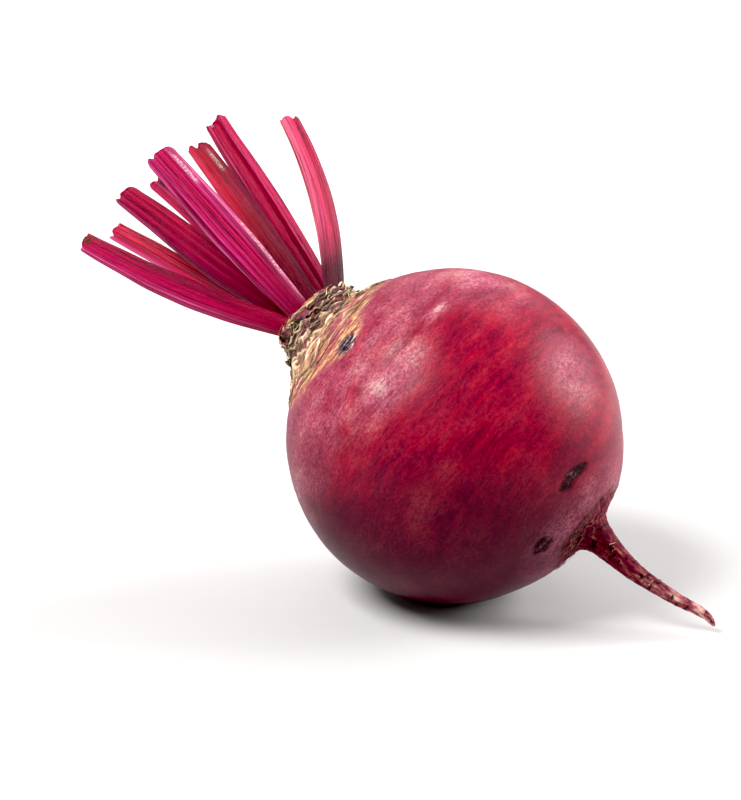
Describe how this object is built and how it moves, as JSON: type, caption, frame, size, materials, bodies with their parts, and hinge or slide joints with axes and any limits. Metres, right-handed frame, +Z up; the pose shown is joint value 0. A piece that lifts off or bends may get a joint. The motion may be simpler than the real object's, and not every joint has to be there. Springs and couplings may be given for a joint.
{
  "type": "beetroot",
  "caption": "Round beetroot lying on its side, with a thin bent tail, a corky crown and leaf stalks cut short.",
  "frame": {"origin": "centre of the small flat spot that the root rests on, straight below the centre of its round body", "axes": "+Z up, +X towards the tail and away from the stalks, +Y away from the viewer of the picture"},
  "size_m": [0.1501, 0.1105, 0.1077],
  "materials": {
    "beet_skin": "satin maroon skin with a dusty bloom",
    "dried_leaf_base": "dry and corky",
    "leaf_stalk": "satin magenta, ribbed lengthwise"
  },
  "bodies": {
    "root": {"root": "beet_skin", "crown_scales": "dried_leaf_base", "stalk_lowest": "leaf_stalk", "stalk_back_left": "leaf_stalk", "stalk_front_left": "leaf_stalk", "stalk_inner_left": "leaf_stalk", "stalk_front": "leaf_stalk", "stalk_inner_right": "leaf_stalk", "stalk_back_right": "leaf_stalk", "stalk_right": "leaf_stalk", "stalk_back": "leaf_stalk", "stalk_inner_back": "leaf_stalk"}
  },
  "joints": []
}
